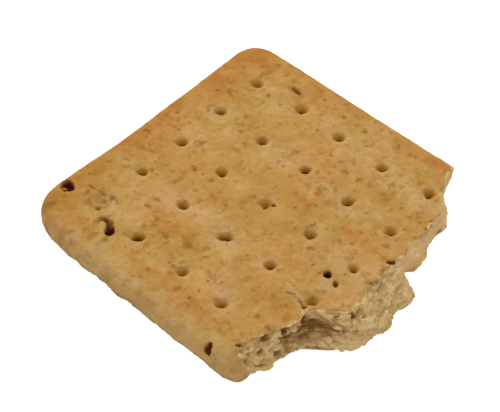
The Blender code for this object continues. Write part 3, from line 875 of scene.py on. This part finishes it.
def biscuit_shape():
    """Points of the biscuit in millimetres from the middle docking hole, its faces, and the marks of
    every point: how far it is crumb, how hollow the crumb lies and how high it stands in its relief,
    both painted as shade, how deep it lies in a docking hole, how scorched or burnt it is, how much
    painted shade a gas cell gives it, how far crust or skin covers the crumb, how russet, umber and
    floury it is, with painted shade in umber and a painted highlight in floury, and how far it is
    browned."""
    x, y, t, on_break, quads, sewn = biscuit_grid()
    z = level_height(t) * (THICKNESS + swell(x, y)) / THICKNESS
    points = np.stack([x, y, z], axis=1)
    top, base, broken = t > 0.999, t < 0.001, on_break > 0.5
    crumb, hollow_shade = crumb_and_hollow(points, broken)

    normals = outward(points, quads, sewn)
    cut_side = np.where(broken, 0.0, 1.0 - eased(0.0, 0.3, np.abs(normals[:, 2]) - 0.6))
    crumb_lumps = crumb_relief(points)
    relief = (crust_relief(points) * (1.0 + 0.5 * cut_side) - 0.16 * cut_side) * (1.0 - crumb)
    relief += (crumb_lumps - 0.15) * crumb
    relief = np.where(base, 0.0, relief) * eased(0.0, 0.6, z + 0.2)
    points = points + normals * relief[:, None]
    under_crust = np.exp(-((z - 7.1 - 0.3 * grain(points, 3.0, 88)) / 0.35) ** 2)
    under_crust *= broken * crumb * eased(-0.1, 0.4, grain(points, 2.4, 89)) * (1.0 - 0.9 * far_end(y))
    points[:, 0] -= 0.5 * under_crust

    lift = eased(0.5, 1.0, t)
    raised, rings, outlines = blisters(points) * lift
    points[:, 2] += raised
    depth, scorch, rim_flour_and_highlight, lips = funnels(points) * lift
    points[:, 2] += lips - depth
    seam_brown_and_shade = press_seams(points, top)
    burnt = carve_pits(points)
    # Painted shade under the crust's edge and in the hollows and pores of the break
    cavity_shade = np.maximum(0.7 * under_crust, carve_hollows(points, broken))

    russet, umber, floury = stains(points) * eased(0.15, 0.5, t)
    margin = 0.55 * eased(-29.0, -38.0, points[:, 0]) + 0.45 * eased(31.0, 38.0, points[:, 1])
    # Painted shade: the cut sides are painted darker towards the foot, where they turn under
    foot_shade = 0.85 * cut_side * (1.0 - eased(1.7, 3.0, z + 0.6 * grain(points, 2.2, 99)))
    dusting = side_flour(points, cut_side, crumb)
    marks = {
        "crumb": crumb,
        # Painted shade where the break stands in
        "hollow_shade": hollow_shade,
        # Painted shade: the crumb's creases are painted darker than its crests
        "crest_shade": np.clip(0.5 + 0.9 * crumb_lumps, 0.0, 1.0),
        "depth": depth,
        "scorch": scorch,
        "burnt": burnt,
        "cavity_shade": cavity_shade,
        "film": eased(5.2, 8.0, z) * np.clip(0.5 + 0.6 * grain(points, 1.8, 95), 0.0, 1.0),
        "skinned": far_end(y) * eased(2.5, 5.5, z + 0.6 * grain(points, 1.3, 90)),
        "russet": np.maximum(russet, margin * lift * (0.6 + 0.4 * grain(points, 3.0, 94))),
        # Painted shade at the foot of the cut sides and in the seams joins the umber stains; a painted
        # highlight on the rims of the holes joins the floury ones
        "umber": np.max([umber, 0.8 * outlines, foot_shade, seam_brown_and_shade], axis=0),
        "floury": np.max([floury, rings, 0.6 * rim_flour_and_highlight, dusting], axis=0),
        "toast": toasting(points),
    }
    return points, quads, sewn, marks


def make_mesh(name, points, faces, marks):
    """A mesh from arrays: points in millimetres go to metres round the middle of the box, and each
    mark is kept as a number on every point."""
    mesh = bpy.data.meshes.new(name)
    mesh.from_pydata(((points - BOX_MIDDLE) * MM).tolist(), [], faces)
    mesh.validate()
    mesh.shade_smooth()
    for mark, values in marks.items():
        layer = mesh.attributes.new(mark, "FLOAT", "POINT")
        layer.data.foreach_set("value", values.astype(np.float32))
    return mesh


points, quads, sewn, marks = biscuit_shape()
low_corner = np.array(cad_box[0]) / MM + BOX_MIDDLE
high_corner = np.array(cad_box[1]) / MM + BOX_MIDDLE
points = np.clip(points, low_corner + CLEARANCE, high_corner - CLEARANCE)
biscuit_mesh = make_mesh("biscuit", points, quads.tolist() + sewn.tolist(), marks)
biscuit = add_object("biscuit", biscuit_mesh)
thinned = biscuit.modifiers.new("thinned", "DECIMATE")
thinned.ratio = TRIANGLES / (2 * len(quads) + len(sewn))

# The crust and the crumb
# Plain flour dough baked to a matt golden brown, speckled with bran; painted shade darkens the bottom
# of the holes and the hollows and creases of the crumb. Where it broke, the crumb is the colour of dry
# bread.


def albedo(red, green, blue):
    """A colour given as the eye sees it, 0 to 255, turned to the amount of light it throws back."""
    return tuple(
        c / 255.0 / 12.92 if c / 255.0 <= 0.04045 else ((c / 255.0 + 0.055) / 1.055) ** 2.4
        for c in (red, green, blue)
    ) + (1.0,)


CRUST_PALE = albedo(208, 166, 106)
CRUST_GOLD = albedo(202, 154, 83)
CRUST_BROWN = albedo(194, 136, 64)
CLOUD_TAN = albedo(176, 126, 55)
FLOUR_DUST = albedo(211, 171, 106)
FRECKLE_BROWN = albedo(158, 108, 38)
BRAN_RED = albedo(152, 99, 34)
BRAN_DARK = albedo(134, 86, 20)
RUSSET_CRUST = albedo(182, 112, 44)
# The umber colour also paints shade at the foot of the cut sides and in the seams
UMBER_CRUST_AND_SHADE = albedo(137, 88, 24)
# The floury colour also paints the highlight on the rims of the holes
FLOURY_CRUST_AND_HIGHLIGHT = albedo(216, 186, 130)
CRUMB_PALE = albedo(240, 208, 148)
# Painted shade in the crumb's creases
CRUMB_CREASE_SHADE = albedo(214, 173, 108)
CRUMB_TAN = albedo(170, 130, 76)
# Painted shade in the hollow of the break
CRUMB_CAVE_SHADE = albedo(152, 105, 38)
SKIN_PEACH = albedo(238, 188, 122)
SKIN_CREAM = albedo(232, 198, 144)
# Painted shade in the hollows and pores of the break
CAVITY_SHADE_BROWN = albedo(122, 72, 22)
# Painted shade in the docking holes: olive, then brown with depth
HOLE_SHADE_OLIVE = albedo(192, 138, 16)
HOLE_SHADE_BROWN = albedo(152, 90, 0)
BURNT_BROWN = albedo(134, 78, 28)
SCORCHED = albedo(72, 24, 14)
# Tints multiply the crust's colour
OLIVE_TINT = (0.965, 1.02, 0.975, 1.0)
ROSY_TINT = (1.035, 0.98, 1.010, 1.0)
DARKER_TINT = (0.88, 0.845, 0.74, 1.0)
LIGHTER_TINT = (1.095, 1.12, 1.21, 1.0)
MATT = 0.9
FLOUR_GRAIN = 0.2 * MM  # how high the fine dust of flour stands on the skin


def matt_material(name):
    """A matt material, and its shader node."""
    material = bpy.data.materials.new(name)
    material.use_nodes = True
    principled = material.node_tree.nodes["Principled BSDF"]
    principled.inputs["Roughness"].default_value = MATT
    return material, principled


crust, shader = matt_material("baked_crust")
shader.inputs["Specular IOR Level"].default_value = 0.1
nodes = crust.node_tree.nodes
links = crust.node_tree.links


def connect(source, target):
    """A socket is linked to the target, and a number or a colour is set on it."""
    if hasattr(source, "links"):
        links.new(source, target)
    else:
        target.default_value = source


def new_node(kind, inputs):
    """A node of this kind in the crust's material, with its inputs linked or set."""
    node = nodes.new("ShaderNode" + kind)
    for name, source in inputs.items():
        connect(source, node.inputs[name])
    return node


def math_node(operation, first, second):
    node = new_node("Math", {0: first, 1: second})
    node.operation = operation
    return node.outputs[0]


def times(first, second):
    return math_node("MULTIPLY", first, second)


def between(low, high, value, to_low=0.0, to_high=1.0):
    """value carried from low..high to to_low..to_high, eased, and held at its ends."""
    node = new_node("MapRange", {"Value": value, "From Min": low, "From Max": high,
                                 "To Min": to_low, "To Max": to_high})
    node.interpolation_type = "SMOOTHSTEP"
    return node.outputs["Result"]


def blend(amount, first, second, how="MIX"):
    node = nodes.new("ShaderNodeMix")
    node.data_type = "RGBA"
    node.blend_type = how
    connect(amount, node.inputs[0])
    connect(first, node.inputs[6])
    connect(second, node.inputs[7])
    return node.outputs[2]


def mark(name):
    node = nodes.new("ShaderNodeAttribute")
    node.attribute_name = name
    return node.outputs["Fac"]


place_on_it = nodes.new("ShaderNodeTexCoord").outputs["Object"]


def cloud(size, detail=2.0, roughness=0.5):
    """Noise whose lumps are about this many millimetres across."""
    return new_node("TexNoise", {"Vector": place_on_it, "Scale": 1.0 / (size * MM),
                                 "Detail": detail, "Roughness": roughness}).outputs["Fac"]


def specks(size, radius, share):
    """Uneven specks, scattered one to a cell of this size: 1 inside the radius, given as a part of
    the cell, in this share of the cells."""
    cell = new_node("TexVoronoi", {"Vector": place_on_it, "Scale": 1.0 / (size * MM)})
    own_colour = new_node("SeparateColor", {"Color": cell.outputs["Color"]})
    uneven = between(0.25, 0.75, cloud(size * 0.25), -0.4 * radius, 0.4 * radius)
    distance = math_node("ADD", cell.outputs["Distance"], uneven)
    spot = between(radius * 1.15, radius * 0.15, distance)
    return times(spot, between(1.0 - share, 1.0 - share * 0.5, own_colour.outputs["Red"]))


# The crust: browned more or less, tinted and shaded in patches, clouded, freckled and specked
browning = math_node("ADD", mark("toast"), between(0.3, 0.7, cloud(2.4, 3.0, 0.6), -0.5, 0.5))
tone = blend(between(-1.0, 0.1, browning), CRUST_PALE, CRUST_GOLD)
tone = blend(between(0.1, 1.3, browning), tone, CRUST_BROWN)
tint = blend(between(0.3, 0.7, cloud(12.0, 4.0, 0.55)), OLIVE_TINT, ROSY_TINT)
tone = blend(1.0, tone, tint, "MULTIPLY")
shade = blend(between(0.3, 0.7, cloud(7.0, 6.0, 0.85)), DARKER_TINT, LIGHTER_TINT)
tone = blend(1.0, tone, shade, "MULTIPLY")
tone = blend(between(0.50, 0.72, cloud(1.8, 3.0, 0.6), 0.0, 0.36), tone, CLOUD_TAN)
freckles = times(between(0.50, 0.66, cloud(1.5)), between(0.50, 0.60, cloud(4.2)))
tone = blend(times(freckles, 0.55), tone, FRECKLE_BROWN)
for size, radius, share, strength, colour in (
        (4.2, 0.24, 0.75, 0.8, BRAN_RED),
        (2.6, 0.25, 0.5, 0.5, BRAN_RED),
        (3.4, 0.14, 0.8, 0.8, BRAN_DARK)):
    tone = blend(times(specks(size, radius, share), strength), tone, colour)
tone = blend(between(0.60, 0.74, cloud(1.7), 0.0, 0.35), tone, FLOUR_DUST)
# The umber mark also carries painted shade at the foot of the cut sides and in the seams, and the
# floury mark a painted highlight on the rims of the holes
for name, strength, colour in (
        ("russet", 0.8, RUSSET_CRUST), ("umber", 0.85, UMBER_CRUST_AND_SHADE), ("floury", 0.75, FLOURY_CRUST_AND_HIGHLIGHT)):
    tone = blend(times(mark(name), strength), tone, colour)

# The crumb: paler on its crests and darker in its creases and in the hollow, which is painted shade,
# filmed by the crust above and skinned over at the far end
# Painted shade: darker in the crumb's creases, paler on its crests
height = math_node("ADD", mark("crest_shade"), between(0.3, 0.7, cloud(0.8, 3.0, 0.65), -0.25, 0.25))
inside = blend(between(0.15, 0.75, height), CRUMB_CREASE_SHADE, CRUMB_PALE)
inside = blend(between(0.58, 0.70, cloud(0.7), 0.0, 0.4), inside, CRUMB_TAN)
# Painted shade in the hollow of the break, under the ledge and in its caves
inside = blend(between(0.05, 0.75, mark("hollow_shade"), 0.0, 0.85), inside, CRUMB_CAVE_SHADE)
inside = blend(times(mark("film"), 0.6), inside, tone)
skin = blend(between(0.4, 0.6, cloud(2.2, 3.0, 0.6)), SKIN_PEACH, SKIN_CREAM)
inside = blend(times(mark("skinned"), 0.85), inside, skin)
ragged = math_node("ADD", mark("crumb"), between(0.3, 0.7, cloud(0.9, 2.0, 0.6), -0.35, 0.35))
surface = blend(between(0.3, 0.7, ragged), tone, inside)

# The holes, pores and pits, darker the deeper they go: painted shade in the docking holes and in the
# hollows and pores of the break, and scorch and burning in some holes and the pits
# Painted shade: the docking holes are painted olive and then brown the deeper they go
surface = blend(between(0.2, 1.4, mark("depth"), 0.0, 0.80), surface, HOLE_SHADE_OLIVE)
surface = blend(between(1.2, 2.3, mark("depth"), 0.0, 0.95), surface, HOLE_SHADE_BROWN)
# Painted shade in the hollows and pores of the break and under the crust's edge
surface = blend(mark("cavity_shade"), surface, CAVITY_SHADE_BROWN)
surface = blend(mark("scorch"), surface, SCORCHED)
surface = blend(between(0.05, 0.55, mark("burnt"), 0.0, 0.95), surface, BURNT_BROWN)
surface = blend(between(0.55, 1.0, mark("burnt"), 0.0, 0.97), surface, SCORCHED)
links.new(surface, shader.inputs["Base Color"])

flour = new_node("Bump", {"Strength": 0.5, "Distance": FLOUR_GRAIN, "Height": cloud(0.7, 4.0, 0.7)})
links.new(flour.outputs["Normal"], shader.inputs["Normal"])

biscuit_mesh.materials.append(crust)
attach(biscuit, "root")
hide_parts("hardtack")

# The floor and the light
# A plain white sheet under the biscuit, a white sky all round and one wide soft lamp, high on the
# far left.
WHITE = (1.0, 1.0, 1.0, 1.0)
REACH = 4.0  # metres from the biscuit to each side of the sheet
FLOOR_DROP = 0.05 * MM  # the sheet lies this far below the base
PAPER_GREY = 0.84
PAPER_GLOW = 0.8  # how much brighter the camera sees the sheet than its light alone
SKY_STRENGTH = 0.60
LAMP_WIDTH = 0.7
LAMP_WATTS = 5.0
LAMP_PLACE = (-0.65, 0.35, 0.75)

floor_mesh = bpy.data.meshes.new("floor")
floor_corners = [(-REACH, -REACH), (REACH, -REACH), (REACH, REACH), (-REACH, REACH)]
floor_mesh.from_pydata([(x, y, -FLOOR_DROP) for x, y in floor_corners], [], [(0, 1, 2, 3)])
floor = add_object("floor", floor_mesh)
paper, paper_shader = matt_material("white_paper")
paper_shader.inputs["Base Color"].default_value = (PAPER_GREY, PAPER_GREY, PAPER_GREY, 1.0)
paper_shader.inputs["Emission Color"].default_value = WHITE
seen = paper.node_tree.nodes.new("ShaderNodeLightPath").outputs["Is Camera Ray"]
brighter = paper.node_tree.nodes.new("ShaderNodeMath")
brighter.operation = "MULTIPLY"
brighter.inputs[1].default_value = PAPER_GLOW
paper.node_tree.links.new(seen, brighter.inputs[0])
paper.node_tree.links.new(brighter.outputs[0], paper_shader.inputs["Emission Strength"])
floor_mesh.materials.append(paper)

sky = bpy.data.worlds.new("sky")
bpy.context.scene.world = sky
sky.use_nodes = True
sky_light = sky.node_tree.nodes["Background"]
sky_light.inputs["Color"].default_value = WHITE
sky_light.inputs["Strength"].default_value = SKY_STRENGTH

lamp_data = bpy.data.lights.new("lamp", "AREA")
lamp_data.shape = "DISK"
lamp_data.size = LAMP_WIDTH
lamp_data.energy = LAMP_WATTS
lamp = add_object("lamp", lamp_data)
lamp.location = LAMP_PLACE
lamp.rotation_euler = lamp.location.to_track_quat("Z", "Y").to_euler()

bpy.context.scene.view_settings.view_transform = "Standard"
bpy.context.scene.view_settings.look = "None"
